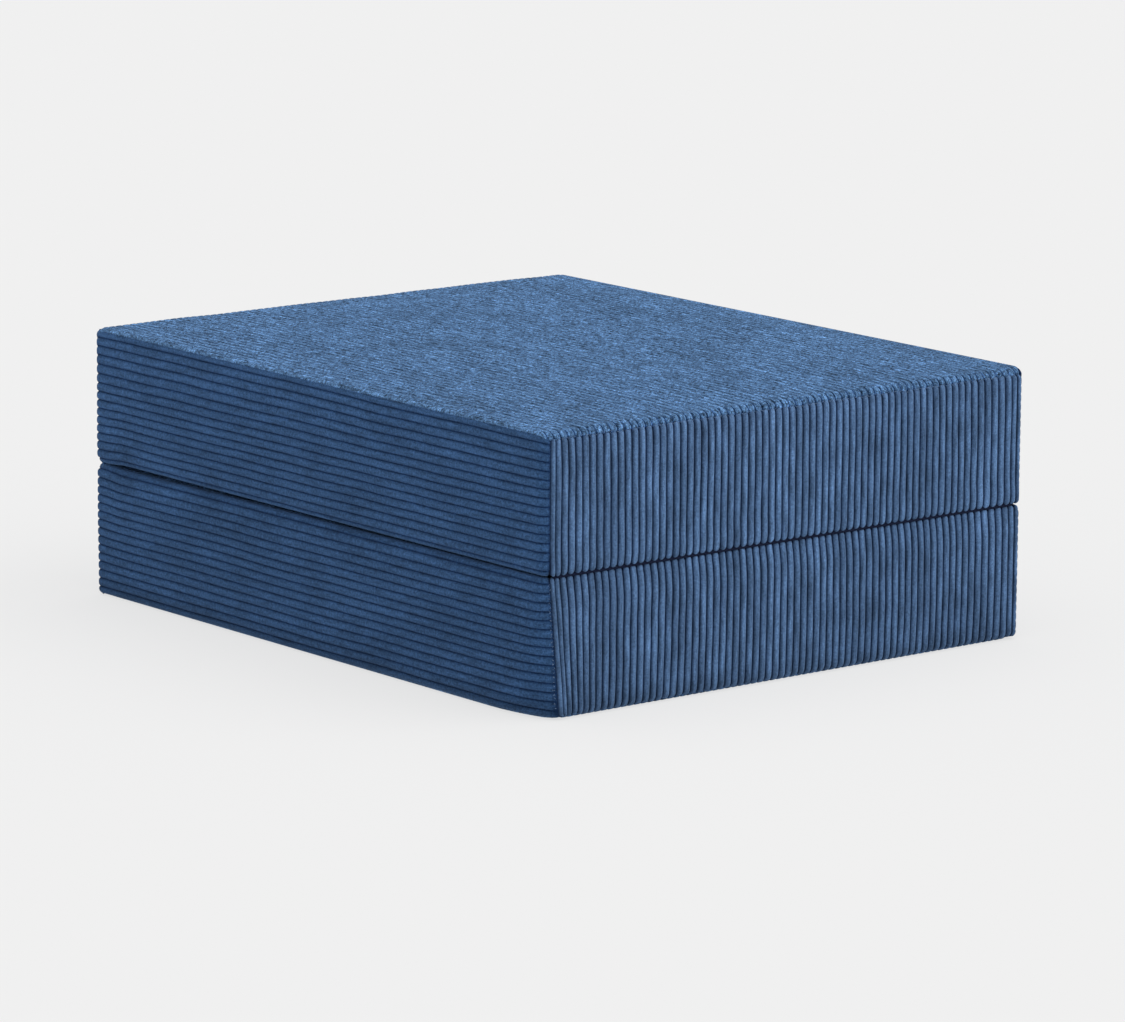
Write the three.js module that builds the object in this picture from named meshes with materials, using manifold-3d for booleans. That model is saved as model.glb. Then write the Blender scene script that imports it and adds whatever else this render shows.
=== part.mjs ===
// A folding futon mattress, shown folded: two equal layers of foam in corduroy covers, one on the
// other, joined by a tape along the fold at +X. Millimetres, +Z up, origin at the middle of the
// underside. X runs along each layer from its zipped end (-X) to the fold (+X), and Y runs along
// the fold.
//
// A layer is built once with its outer face at z = 0 and its sleeping face on top. The upper layer
// is the same layer mirrored in height, so that the two sleeping faces meet inside the fold.
import * as THREE from "three";
import { mergeVertices } from "three/addons/utils/BufferGeometryUtils.js";
import Module from "manifold-3d";

const wasm = await Module();
wasm.setup();

// Driving dimensions
const PANEL_LENGTH = 960; // from the end wall to the hinge wall
const PANEL_WIDTH = 800; // from the front band to the back band
const STACK_HEIGHT = 360; // both layers, folded
const FOLD_GAP = 3; // between the two sleeping faces
const HINGE_OFFSET = 3; // from the hinge walls to the line that the upper layer turns about
const CORNER_RADIUS = 16; // upright corners of the cover
const RIM_RADIUS = 12; // edges round the two large faces
const CLOTH = 3; // corduroy with its backing
const LINER = 1; // stockinette round the foam
const COMFORT_THICKNESS = 50; // soft foam on the sleeping side
const CLEARANCE = 0.3; // between neighbouring pieces

const LAYER_HEIGHT = (STACK_HEIGHT - FOLD_GAP) / 2;
const HINGE_X = PANEL_LENGTH / 2;
const END_X = -PANEL_LENGTH / 2;
const HALF_WIDTH = PANEL_WIDTH / 2;

// Where the cover is sewn together
const RIM_SEAM = RIM_RADIUS; // depth of the seam between the outer panel and the walls
const HINGE_SEAM = 8; // from the upright corner to the end of the hinge wall
const END_SEAM = 20; // how far the bands reach round the corners onto the end wall

// Fold tape
const TAPE_THICKNESS = 1.2;
const TAPE_OUTER = 5; // from the hinge line to the tape's round edge
const TAPE_INNER = 32; // from the hinge line to the tape's far edge

// Zip, along the middle of the end wall
const ZIP_SLOT = 14; // opening between the two strips of the end wall
const ZIP_TAPE_WIDTH = 18;
const ZIP_TAPE_THICKNESS = 1;
const ZIP_TAPE_LENGTH = 744;
const TEETH_LENGTH = 712;
const TEETH_WIDTH = 3;
const TEETH_FACE = -0.9; // outer side of the teeth, below the face of the wall
const TEETH_BACK = -3;
const STOP_LENGTH = 4;
const STOP_OFFSET = 360; // from the middle of the zip to each stop
const SLIDER_REST = 350; // the slider's middle at the closed end
const SLIDER_LENGTH = 12;
const SLIDER_MOUTH = 10.4; // width at the end where the teeth part
const SLIDER_TAIL = 9.2;
const SLIDER_BACK = -0.6;
const SLIDER_FACE = 0.9;
const FLANGE_WIDTH = 1.2;
const FLANGE_INSIDE = 3.4; // from the middle of the zip to the inside of a flange
const BAIL_WIDTH = 2.4;
const BAIL_HALF_LENGTH = 5;
const BAIL_HALF_HOLE = 3.2;
const BAIL_HOLE_TOP = 3.3;
const BAIL_TOP = 4.6;
const PULL_AXIS = 2.1; // height of the pull's crossbar above the wall
const PULL_THICKNESS = 1.4;
const PULL_WIDTH = 7;
const PULL_LENGTH = 30;
const PULL_EYE_WIDTH = 3.2;
const PULL_EYE_LENGTH = 5.5;

const WALL_FACE = 0; // height 0 in the zip's own frame

// Cover, foam and metal finishes
const corduroy = (color) => new THREE.MeshStandardMaterial({ color, roughness: 0.9, metalness: 0 });
const TOP_CLOTH = corduroy(0x567593);
const WALL_CLOTH = corduroy(0x3e587c);
const BAND_CLOTH = corduroy(0x304767);
const TAPE_CLOTH = corduroy(0x1d2c47);
const CORE_FOAM = new THREE.MeshStandardMaterial({ color: 0xe6dfc8, roughness: 0.95, metalness: 0 });
const COMFORT_FOAM = new THREE.MeshStandardMaterial({ color: 0xc9dcea, roughness: 0.95, metalness: 0 });
const LINER_CLOTH = new THREE.MeshStandardMaterial({ color: 0xf2f2ee, roughness: 0.9, metalness: 0 });
const ZIP_NYLON = new THREE.MeshStandardMaterial({ color: 0x26385a, roughness: 0.55, metalness: 0 });
const ZIP_METAL = new THREE.MeshStandardMaterial({ color: 0x8c9096, roughness: 0.35, metalness: 0.9 });

// A closed geometry as a solid that can be cut.
function solidOf(geometry) {
  const bare = geometry.clone();
  bare.deleteAttribute("normal");
  bare.deleteAttribute("uv");
  const merged = mergeVertices(bare);
  const mesh = new wasm.Mesh({
    numProp: 3,
    vertProperties: new Float32Array(merged.attributes.position.array),
    triVerts: new Uint32Array(merged.index.array),
  });
  return new wasm.Manifold(mesh);
}

// A solid back as a geometry.
function geometryOf(solid) {
  const mesh = solid.getMesh();
  const indexed = new THREE.BufferGeometry();
  indexed.setAttribute("position", new THREE.BufferAttribute(new Float32Array(mesh.vertProperties), 3));
  indexed.setIndex(new THREE.BufferAttribute(new Uint32Array(mesh.triVerts), 1));
  const flat = indexed.toNonIndexed();
  flat.computeVertexNormals();
  return flat;
}

// A plain box between two corners.
function boxBetween(low, high) {
  const size = high.map((value, i) => value - low[i]);
  const middle = high.map((value, i) => (value + low[i]) / 2);
  return new THREE.BoxGeometry(...size).translate(...middle);
}

function addMesh(group, name, geometry, material) {
  const mesh = new THREE.Mesh(geometry, material);
  mesh.name = name;
  group.add(mesh);
  return mesh;
}

// The layer's rounded block, drawn in by inset all round and by zipRoom more at the zipped end.
function roundedBlock(inset, zipRoom = 0) {
  const rim = RIM_RADIUS - inset;
  const round = CORNER_RADIUS - RIM_RADIUS;
  const low = [END_X + inset + zipRoom + rim, -HALF_WIDTH + inset + rim];
  const high = [HINGE_X - inset - rim, HALF_WIDTH - inset - rim];
  const outline = new THREE.Shape();
  outline.absarc(high[0] - round, high[1] - round, round, 0, Math.PI / 2);
  outline.absarc(low[0] + round, high[1] - round, round, Math.PI / 2, Math.PI);
  outline.absarc(low[0] + round, low[1] + round, round, Math.PI, 1.5 * Math.PI);
  outline.absarc(high[0] - round, low[1] + round, round, 1.5 * Math.PI, 2 * Math.PI);
  const depth = LAYER_HEIGHT - 2 * inset - 2 * rim;
  const block = new THREE.ExtrudeGeometry(outline, {
    depth,
    curveSegments: 3,
    bevelEnabled: true,
    bevelThickness: rim,
    bevelSize: rim,
    bevelSegments: 4,
  });
  return solidOf(block.translate(0, 0, inset + rim));
}

// A large open box for cutting, which reaches past the layer wherever a limit is left out.
function region({ x, y, z }) {
  const [xLow, xHigh] = x ?? [-PANEL_LENGTH, PANEL_LENGTH];
  const [yLow, yHigh] = y ?? [-PANEL_WIDTH, PANEL_WIDTH];
  const [zLow, zHigh] = z ?? [-LAYER_HEIGHT, 2 * LAYER_HEIGHT];
  return solidOf(boxBetween([xLow, yLow, zLow], [xHigh, yHigh, zHigh]));
}

// The flat sleeping face inside its rolled edges, grown by margin.
function sleepingFace(margin) {
  const inset = RIM_RADIUS - margin;
  return region({
    x: [END_X + inset, HINGE_X - inset],
    y: [-HALF_WIDTH + inset, HALF_WIDTH - inset],
    z: [LAYER_HEIGHT - RIM_SEAM, LAYER_HEIGHT + 1],
  });
}

// The corduroy cover: one rounded shell, parted along its seams. The walls roll over onto the
// sleeping side, and the outer panel rolls down onto the walls.
function addCover(layer, prefix) {
  const shell = roundedBlock(0).subtract(roundedBlock(CLOTH));
  const low = RIM_SEAM + CLEARANCE;
  const high = LAYER_HEIGHT + 1;
  const walls = shell.intersect(region({ z: [low, high] })).subtract(sleepingFace(CLEARANCE));
  const hingeEnd = HALF_WIDTH - HINGE_SEAM;
  const stripEnd = HALF_WIDTH - END_SEAM;
  const hingeSide = [HINGE_X - CORNER_RADIUS, HINGE_X + 1];
  const endSide = [END_X - 1, END_X + CORNER_RADIUS];
  const slotLow = (LAYER_HEIGHT - ZIP_SLOT) / 2;
  const slotHigh = (LAYER_HEIGHT + ZIP_SLOT) / 2;
  const bands = walls
    .subtract(region({ x: hingeSide, y: [-hingeEnd - CLEARANCE, hingeEnd + CLEARANCE] }))
    .subtract(region({ x: endSide, y: [-stripEnd - CLEARANCE, stripEnd + CLEARANCE] }));
  const strip = (z) => walls.intersect(region({ x: endSide, y: [-stripEnd, stripEnd], z }));
  const pieces = {
    outer_panel: [shell.intersect(region({ z: [-1, RIM_SEAM] })), TOP_CLOTH],
    inner_panel: [shell.intersect(sleepingFace(0)), TOP_CLOTH],
    hinge_wall: [walls.intersect(region({ x: hingeSide, y: [-hingeEnd, hingeEnd] })), WALL_CLOTH],
    front_band: [bands.intersect(region({ y: [-PANEL_WIDTH, 0] })), BAND_CLOTH],
    back_band: [bands.intersect(region({ y: [0, PANEL_WIDTH] })), BAND_CLOTH],
    end_wall_outer: [strip([low, slotLow]), BAND_CLOTH],
    end_wall_inner: [strip([slotHigh, high]), BAND_CLOTH],
  };
  for (const [name, [solid, material]] of Object.entries(pieces)) {
    addMesh(layer, `${prefix}_${name}`, geometryOf(solid), material);
  }
}

// The filling: a firm core, a softer slab on the sleeping side, and the sock that holds them, open
// at the zip.
function addFilling(layer, prefix) {
  const zipRoom = ZIP_TAPE_THICKNESS + CLEARANCE;
  const linerInset = CLOTH + CLEARANCE;
  const foamInset = linerInset + LINER + CLEARANCE;
  const mouth = region({ x: [-PANEL_LENGTH, END_X + linerInset + zipRoom + CORNER_RADIUS] });
  const sock = roundedBlock(linerInset, zipRoom).subtract(roundedBlock(linerInset + LINER, zipRoom));
  const foam = roundedBlock(foamInset, zipRoom);
  const split = LAYER_HEIGHT - foamInset - COMFORT_THICKNESS;
  const core = foam.intersect(region({ z: [0, split - CLEARANCE] }));
  const comfort = foam.intersect(region({ z: [split, LAYER_HEIGHT] }));
  addMesh(layer, `${prefix}_foam_core`, geometryOf(core), CORE_FOAM);
  addMesh(layer, `${prefix}_comfort_layer`, geometryOf(comfort), COMFORT_FOAM);
  addMesh(layer, `${prefix}_foam_liner`, geometryOf(sock.subtract(mouth)), LINER_CLOTH);
}

// The slider's plate with its two flanges, and the bail that carries the pull.
function sliderGeometry() {
  const half = SLIDER_LENGTH / 2;
  const tail = { x: -half, y: SLIDER_TAIL / 2, cutX: 1.6, cutY: 1.2 };
  const mouth = { x: half, y: SLIDER_MOUTH / 2, cutX: -2.4, cutY: 1 };
  const plate = new THREE.Shape([
    new THREE.Vector2(tail.x, -tail.y + tail.cutY),
    new THREE.Vector2(tail.x + tail.cutX, -tail.y),
    new THREE.Vector2(mouth.x + mouth.cutX, -mouth.y),
    new THREE.Vector2(mouth.x, -mouth.y + mouth.cutY),
    new THREE.Vector2(mouth.x, mouth.y - mouth.cutY),
    new THREE.Vector2(mouth.x + mouth.cutX, mouth.y),
    new THREE.Vector2(tail.x + tail.cutX, tail.y),
    new THREE.Vector2(tail.x, tail.y - tail.cutY),
  ]);
  const depth = SLIDER_FACE - SLIDER_BACK;
  const face = new THREE.ExtrudeGeometry(plate, { depth, bevelEnabled: false });
  let slider = solidOf(face.translate(0, 0, SLIDER_BACK));
  for (const side of [-1, 1]) {
    const near = side * FLANGE_INSIDE;
    const far = side * (FLANGE_INSIDE + FLANGE_WIDTH);
    const low = [-half + 2, Math.min(near, far), TEETH_BACK + 0.2];
    const high = [half - 2, Math.max(near, far), SLIDER_BACK + 0.3];
    slider = slider.add(solidOf(boxBetween(low, high)));
  }
  const arch = new THREE.Shape();
  const crown = 1.6; // rounding of the bail's two upper corners
  const foot = SLIDER_FACE - 0.3;
  arch.moveTo(-BAIL_HALF_LENGTH, foot);
  arch.lineTo(-BAIL_HALF_HOLE, foot);
  arch.lineTo(-BAIL_HALF_HOLE, BAIL_HOLE_TOP);
  arch.lineTo(BAIL_HALF_HOLE, BAIL_HOLE_TOP);
  arch.lineTo(BAIL_HALF_HOLE, foot);
  arch.lineTo(BAIL_HALF_LENGTH, foot);
  arch.lineTo(BAIL_HALF_LENGTH, BAIL_TOP - crown);
  arch.absarc(BAIL_HALF_LENGTH - crown, BAIL_TOP - crown, crown, 0, Math.PI / 2);
  arch.absarc(-BAIL_HALF_LENGTH + crown, BAIL_TOP - crown, crown, Math.PI / 2, Math.PI);
  const bail = new THREE.ExtrudeGeometry(arch, {
    depth: BAIL_WIDTH,
    bevelEnabled: false,
    curveSegments: 4,
  });
  bail.rotateX(Math.PI / 2).translate(0, BAIL_WIDTH / 2, 0);
  return geometryOf(slider.add(solidOf(bail)));
}

// The pull: a tab with an eye round the bail, its crossbar on the origin.
function pullGeometry() {
  const half = PULL_WIDTH / 2;
  const bar = PULL_THICKNESS / 2;
  const far = -PULL_LENGTH;
  const outline = new THREE.Shape();
  outline.moveTo(bar, -half);
  outline.lineTo(bar, half);
  outline.lineTo(far + half, half);
  outline.absarc(far + half, 0, half, Math.PI / 2, 1.5 * Math.PI);
  const eye = new THREE.Path();
  eye.moveTo(-bar, -PULL_EYE_WIDTH / 2);
  eye.lineTo(-bar - PULL_EYE_LENGTH, -PULL_EYE_WIDTH / 2);
  eye.lineTo(-bar - PULL_EYE_LENGTH, PULL_EYE_WIDTH / 2);
  eye.lineTo(-bar, PULL_EYE_WIDTH / 2);
  outline.holes.push(eye);
  const tab = new THREE.ExtrudeGeometry(outline, {
    depth: PULL_THICKNESS,
    bevelEnabled: false,
    curveSegments: 6,
  });
  return tab.translate(0, 0, -PULL_THICKNESS / 2);
}

// The zip, in a frame of its own on the end wall: x runs towards the front, y up and z out of the
// wall.
function addZip(layer, prefix) {
  const zip = new THREE.Group();
  const towardsFront = new THREE.Vector3(0, -1, 0);
  const up = new THREE.Vector3(0, 0, 1);
  const outwards = new THREE.Vector3(-1, 0, 0);
  zip.setRotationFromMatrix(new THREE.Matrix4().makeBasis(towardsFront, up, outwards));
  zip.position.set(END_X, 0, LAYER_HEIGHT / 2);
  layer.add(zip);

  const tapeFace = WALL_FACE - CLOTH - CLEARANCE;
  const half = CLEARANCE / 2;
  for (const [name, side] of [["outer", -1], ["inner", 1]]) {
    const across = (near, far) => [Math.min(side * near, side * far), Math.max(side * near, side * far)];
    const [tapeLow, tapeHigh] = across(half, half + ZIP_TAPE_WIDTH);
    const tape = boxBetween(
      [-ZIP_TAPE_LENGTH / 2, tapeLow, tapeFace - ZIP_TAPE_THICKNESS],
      [ZIP_TAPE_LENGTH / 2, tapeHigh, tapeFace],
    );
    addMesh(zip, `${prefix}_zip_tape_${name}`, tape, TAPE_CLOTH);
    const [rowLow, rowHigh] = across(half, half + TEETH_WIDTH);
    const teethLow = [-TEETH_LENGTH / 2, rowLow, TEETH_BACK];
    const teethHigh = [TEETH_LENGTH / 2, rowHigh, TEETH_FACE];
    const teeth = boxBetween(teethLow, teethHigh);
    addMesh(zip, `${prefix}_zip_teeth_${name}`, teeth, ZIP_NYLON);
  }
  for (const [name, side] of [["start", 1], ["end", -1]]) {
    const stop = boxBetween(
      [-STOP_LENGTH / 2, -TEETH_WIDTH - half, TEETH_BACK],
      [STOP_LENGTH / 2, TEETH_WIDTH + half, TEETH_FACE + 0.4],
    );
    addMesh(zip, `${prefix}_zip_stop_${name}`, stop, ZIP_METAL).position.x = side * STOP_OFFSET;
  }
  const slider = addMesh(zip, `${prefix}_zip_slider`, sliderGeometry(), ZIP_METAL);
  slider.position.x = SLIDER_REST;
  const pull = addMesh(zip, `${prefix}_zip_pull`, pullGeometry(), ZIP_METAL);
  pull.position.set(SLIDER_REST, 0, PULL_AXIS);
}

function buildLayer(prefix) {
  const layer = new THREE.Group();
  addCover(layer, prefix);
  addFilling(layer, prefix);
  addZip(layer, prefix);
  return layer;
}

// The tape that joins the layers: a flat strip in the fold with a round edge next to the hinge line.
function foldTape() {
  const half = TAPE_THICKNESS / 2;
  const section = new THREE.Shape();
  section.moveTo(-TAPE_INNER, half);
  section.lineTo(-TAPE_INNER, -half);
  section.lineTo(-TAPE_OUTER - half, -half);
  section.absarc(-TAPE_OUTER - half, 0, half, -Math.PI / 2, Math.PI / 2);
  const length = PANEL_WIDTH - 2 * CORNER_RADIUS;
  const strip = new THREE.ExtrudeGeometry(section, {
    depth: length,
    bevelEnabled: false,
    curveSegments: 6,
  });
  strip.rotateX(Math.PI / 2).translate(HINGE_X + HINGE_OFFSET, length / 2, STACK_HEIGHT / 2);
  return strip;
}

const mattress = new THREE.Group();
mattress.add(buildLayer("lower"));

const upperLayer = buildLayer("upper");
upperLayer.scale.z = -1;
upperLayer.position.z = STACK_HEIGHT;
mattress.add(upperLayer);

addMesh(mattress, "fold_tape", foldTape(), TAPE_CLOTH);

export default mattress;
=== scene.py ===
"""Looks of a folding futon mattress: two corduroy-covered foam layers hinged on one edge.

Laid out as a Blender add-on. Lengths are in metres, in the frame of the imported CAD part.
Each layer is worked out in its own depth t, measured from its outer face towards the fold.
"""

import math

import bmesh
import bpy
import numpy as np
from mathutils import Matrix, Vector


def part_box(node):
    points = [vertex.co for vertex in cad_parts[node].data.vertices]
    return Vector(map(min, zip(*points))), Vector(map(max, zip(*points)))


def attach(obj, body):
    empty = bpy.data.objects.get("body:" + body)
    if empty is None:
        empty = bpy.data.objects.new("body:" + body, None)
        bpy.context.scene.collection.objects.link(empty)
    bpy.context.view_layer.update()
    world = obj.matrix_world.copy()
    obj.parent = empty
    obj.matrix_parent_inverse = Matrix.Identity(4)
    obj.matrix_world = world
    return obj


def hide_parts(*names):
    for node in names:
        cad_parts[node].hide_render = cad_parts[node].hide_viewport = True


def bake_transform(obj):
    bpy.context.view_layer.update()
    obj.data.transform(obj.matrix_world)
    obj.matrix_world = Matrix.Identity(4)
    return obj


bl_info = {
    "name": "Folding Futon Mattress",
    "version": (1, 0, 0),
    "blender": (4, 5, 0),
    "location": "3D View > Sidebar > Futon",
    "description": "Builds the cover, filling, zips and stage of a folding futon mattress",
    "category": "Object",
}

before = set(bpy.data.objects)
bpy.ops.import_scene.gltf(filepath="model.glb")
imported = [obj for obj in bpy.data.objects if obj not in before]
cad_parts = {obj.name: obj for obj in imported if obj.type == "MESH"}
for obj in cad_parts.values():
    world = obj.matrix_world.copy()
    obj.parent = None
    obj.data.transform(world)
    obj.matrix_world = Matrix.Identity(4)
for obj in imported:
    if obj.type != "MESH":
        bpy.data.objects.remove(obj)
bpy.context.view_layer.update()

# Main sizes, the same as the CAD part's.
HALF_X = 0.480
HALF_Y = 0.400
LAYER = 0.1785
STACK = 0.360
SEAM_Y = 0.392
END_SEAM_Y = 0.380
ZIP_LOW = 0.0825
ZIP_HIGH = 0.0960

# Ribs of the corduroy. A shape is the (power, roundness) of a rib's cross-section.
WALL_RIBS = 71
INNER_RIBS = 70
BAND_RIBS = 16
PITCH = 2 * SEAM_Y / WALL_RIBS
FIRST_RIB = 0.0072
OUTER_RIB = 0.0025
TIP_LENGTH = 0.0075
CREST_LIMIT = 0.1799
SAMPLES = 8
GROOVE_GATHER = 0.11
PANEL_SHAPE = (3.4, 0.75)
BAND_SHAPE = (3.2, 0.8)
HINGE_SHAPE = (2.0, 0.78)

# The cloth, the rolls of its edges and the corners beside the hinge wall.
CLOTH = 0.0026
INNER_ROLL = 0.0045
OUTER_ROLL = 0.0070
OUTER_TURN = math.radians(75)
OUTER_INSET = OUTER_ROLL * (1 - math.cos(OUTER_TURN))
BAND_ROLL = 0.0098
ROLL_TURN = 1.5
END_RADIUS = 0.005
FRONT_TURN = math.radians(53)
FLOOR_TURN = math.radians(31)
BACK_TURN = math.radians(30)
FRONT_SEAM = 0.0088
FLOOR_SEAM = 0.0130
BACK_SEAM = 0.0014

# How far a cover piece's seams dip, and over what length.
SEAM_DIP = 0.0014
SEAM_WIDTH = 0.005

# Swelling of each simulated face, by (upper, face).
swelling = {}


def smooth(edge0, edge1, x):
    """Smooth step from 0 at edge0 to 1 at edge1."""
    s = np.clip((x - edge0) / (edge1 - edge0), 0, 1)
    return s * s * (3 - 2 * s)


def layer_name(upper):
    return "upper" if upper else "lower"


def waves(a, b, seed, lengths=(0.31, 0.19, 0.11)):
    """Seeded low-frequency unevenness of about -1 to 1 over two coordinates in metres."""
    rng = np.random.default_rng(seed)
    total = np.zeros(np.broadcast(a, b).shape)
    for i, length in enumerate(lengths):
        turn = rng.uniform(0, math.pi)
        phase = rng.uniform(0, 2 * math.pi, 2)
        along = a * math.cos(turn) + b * math.sin(turn)
        across = b * math.cos(turn) - a * math.sin(turn)
        k = 2 * math.pi / length
        total += np.sin(k * along + phase[0]) * np.cos(0.7 * k * across + phase[1]) / (1 + 0.6 * i)
    return total / 1.6


def rib_stations(ribs):
    """Stations along a row of ribs, SAMPLES to a rib and closer together beside its grooves."""
    steps = np.arange(ribs * SAMPLES + 1) / SAMPLES
    number = np.floor(steps)
    phase = steps - number
    return number + (phase - GROOVE_GATHER * np.sin(2 * math.pi * phase))


def rib_profile(station, shape, short=0):
    """Height of a rib from 0 in its groove to 1 on its crest; short lowers it to a round tip."""
    power, roundness = shape
    offset = np.abs(2 * (station - np.floor(station)) - 1)
    return np.clip(1 - offset**power - short**2, 0, 1) ** roundness


def tip_level(station, shape, to_end, floor):
    """Height of a rib that ends like a fingertip, to_end being the length left to its end."""
    short = np.clip(1 - to_end / TIP_LENGTH, 0, 1)
    return np.maximum(rib_profile(station, shape, short), floor * rib_profile(station, shape))


def wall_rib_y(station):
    """Where a station of the hinge wall's ribs is, the first and last ribs being narrower."""
    inner = SEAM_Y - FIRST_RIB
    return np.interp(station, [0, 1, WALL_RIBS - 1, WALL_RIBS], [-SEAM_Y, -inner, inner, SEAM_Y])


def spread(*segments):
    """Stations from (end value, steps) pairs; the first pair holds the start value and 0 steps."""
    parts = [np.array([segments[0][0]])]
    last = segments[0][0]
    for end, steps in segments[1:]:
        parts.append(np.linspace(last, end, steps + 1)[1:])
        last = end
    return np.concatenate(parts)


def grid_normals(points):
    """Unit normals of a grid of points, rows along the first index."""
    down = np.gradient(points, axis=0)
    over = np.gradient(points, axis=1)
    normal = np.cross(over, down)
    return normal / np.maximum(np.linalg.norm(normal, axis=2, keepdims=True), 1e-12)


def finished_mesh(bm, name):
    """A new mesh that holds what the bmesh did."""
    mesh = bpy.data.meshes.new(name)
    bm.to_mesh(mesh)
    bm.free()
    return mesh


def new_object(name, data):
    obj = bpy.data.objects.new(name, data)
    bpy.context.scene.collection.objects.link(obj)
    return obj


def slab_mesh(name, columns, rows):
    """A closed flat slab of columns by rows faces, as made by the grid and solidify operators."""
    bm = bmesh.new()
    bmesh.ops.create_grid(bm, x_segments=columns, y_segments=rows, size=0.5)
    bmesh.ops.solidify(bm, geom=bm.faces[:], thickness=0.01)
    return finished_mesh(bm, name)


def cloth_panel(name, base, height, thickness, along, across, level, upper, outward):
    """Shapes a slab into a ribbed cloth panel around a base surface and returns its object.

    base is a grid of points (x, y, t); height lifts the face side along the surface's normal.
    along, across and level go into the "cloth" attribute that the material reads; where level is
    low the material paints shade.
    """
    rows, columns = base.shape[0] - 1, base.shape[1] - 1
    mesh = slab_mesh(name, columns, rows)
    flat = np.empty(len(mesh.vertices) * 3, np.float32)
    mesh.vertices.foreach_get("co", flat)
    flat = flat.reshape(-1, 3)
    i = np.rint((flat[:, 0] + 0.5) * columns).astype(int)
    j = np.rint((flat[:, 1] + 0.5) * rows).astype(int)
    face = flat[:, 2] > -0.005
    normal = grid_normals(base)
    middle = normal[rows // 2, columns // 2]
    if np.dot(middle, outward) < 0:
        normal = -normal
    lift = np.where(face, height[j, i], -thickness)
    place = base[j, i] + normal[j, i] * lift[:, None]
    if upper:
        place[:, 2] = STACK - place[:, 2] + free_end_lift(place[:, 0], place[:, 2])
    mesh.vertices.foreach_set("co", place.astype(np.float32).ravel())
    cloth = mesh.attributes.new("cloth", "FLOAT_VECTOR", "POINT")
    shown = np.where(face, level[j, i], 0.0)
    values = np.stack([along[j, i], across[j, i], shown], axis=1)
    cloth.data.foreach_set("vector", values.astype(np.float32).ravel())
    mesh.update()
    face_outwards(mesh)
    mesh.shade_smooth()
    return new_object(name, mesh)


def face_outwards(mesh):
    """Turns the faces of a closed mesh outwards if they enclose a negative volume."""
    mesh.calc_loop_triangles()
    co = np.empty(len(mesh.vertices) * 3)
    mesh.vertices.foreach_get("co", co)
    co = co.reshape(-1, 3)
    index = np.empty(len(mesh.loop_triangles) * 3, int)
    mesh.loop_triangles.foreach_get("vertices", index)
    a, b, c = co[index.reshape(-1, 3)].transpose(1, 0, 2)
    if np.einsum("ij,ij->i", a, np.cross(b, c)).sum() < 0:
        mesh.flip_normals()


def rolled_sheet(u, v, half, roll, flat_corner):
    """A flat sheet whose border rolls down: (x, y, t) for sheet lengths u and v."""
    rx, ry = roll
    cx = half[0] - flat_corner - rx * math.sin(ROLL_TURN)
    cy = half[1] - flat_corner - ry * math.sin(ROLL_TURN)
    a = np.clip((np.abs(u) - cx) / (flat_corner + rx * ROLL_TURN), 0, 1)
    b = np.clip((np.abs(v) - cy) / (flat_corner + ry * ROLL_TURN), 0, 1)
    most = np.maximum(a, b)
    ratio = np.minimum(a, b) / np.maximum(most, 1e-9)
    angle = np.where(a >= b, math.pi / 4 * ratio, math.pi / 2 - math.pi / 4 * ratio)
    radius = rx * np.cos(angle) ** 2 + ry * np.sin(angle) ** 2
    reach = most * (flat_corner + radius * ROLL_TURN)
    turn = np.maximum(reach - flat_corner, 0) / radius
    plan = np.minimum(reach, flat_corner) + radius * np.sin(turn)
    x = np.sign(u) * (np.minimum(np.abs(u), cx) + plan * np.cos(angle))
    y = np.sign(v) * (np.minimum(np.abs(v), cy) + plan * np.sin(angle))
    return np.stack([x, y, radius * (1 - np.cos(turn))], axis=-1)


def sheet_reach(half, roll):
    """Sheet length from the middle to the end of the roll."""
    return half + roll * (ROLL_TURN - math.sin(ROLL_TURN))


def swell_at(upper, face, a, b):
    """Simulated swelling at a, b from 0 to 1 over a face, in metres."""
    table = swelling[(upper, face)]
    rows, columns = table.shape[0] - 1, table.shape[1] - 1
    fa = np.clip(a, 0, 1) * rows
    fb = np.clip(b, 0, 1) * columns
    i = np.minimum(fa.astype(int), rows - 1)
    j = np.minimum(fb.astype(int), columns - 1)
    s = fa - i
    t = fb - j
    low = table[i, j] * (1 - t) + table[i, j + 1] * t
    high = table[i + 1, j] * (1 - t) + table[i + 1, j + 1] * t
    return low * (1 - s) + high * s


def corner_turn(upper, side, t):
    """How far a side band has turned towards the hinge wall at their seam, at depth t."""
    low = 0 if upper else (1 - smooth(0, 1, t / LAYER)) * FLOOR_TURN
    return np.where(side < 0, FRONT_TURN - low, BACK_TURN) + 0 * t


def seam_y(upper, side, t):
    """How far from the middle the seam between hinge wall and band is at depth t."""
    low = 0 if upper else FLOOR_SEAM * (1 - np.clip(t / LAYER, 0, 1))
    return HALF_Y - np.where(side < 0, FRONT_SEAM + low, BACK_SEAM) + 0 * t


def corner_radius(upper, side, t):
    """Plan radius of a band's corner beside the hinge wall at depth t, on the side of that sign."""
    return (HALF_Y - seam_y(upper, side, t)) / (1 - np.cos(corner_turn(upper, side, t)))


def floor_corner(x):
    """How far the front of the lower layer has turned inwards at its outer face, at x."""
    radius = float(corner_radius(False, -1, 0.0))
    reach = radius * math.sin(float(corner_turn(False, -1, 0.0)))
    return radius - np.sqrt(radius**2 - np.clip(x - HALF_X + reach, 0, reach) ** 2)


def outer_rolls(upper):
    """Roll radii of the outer panel over the x and y sides, and its flat corner radius."""
    return ((0.009, 0.0035), 0.007) if upper else ((0.003, 0.003), 0.020)


def rim_depth(side_share):
    """Depth of the upper outer panel's edge: side_share is 0 on x sides and 1 on y sides."""
    (rx, ry), _ = outer_rolls(True)
    roll = (rx + (ry - rx) * side_share) * (1 - math.cos(ROLL_TURN))
    return OUTER_RIB + roll


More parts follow.
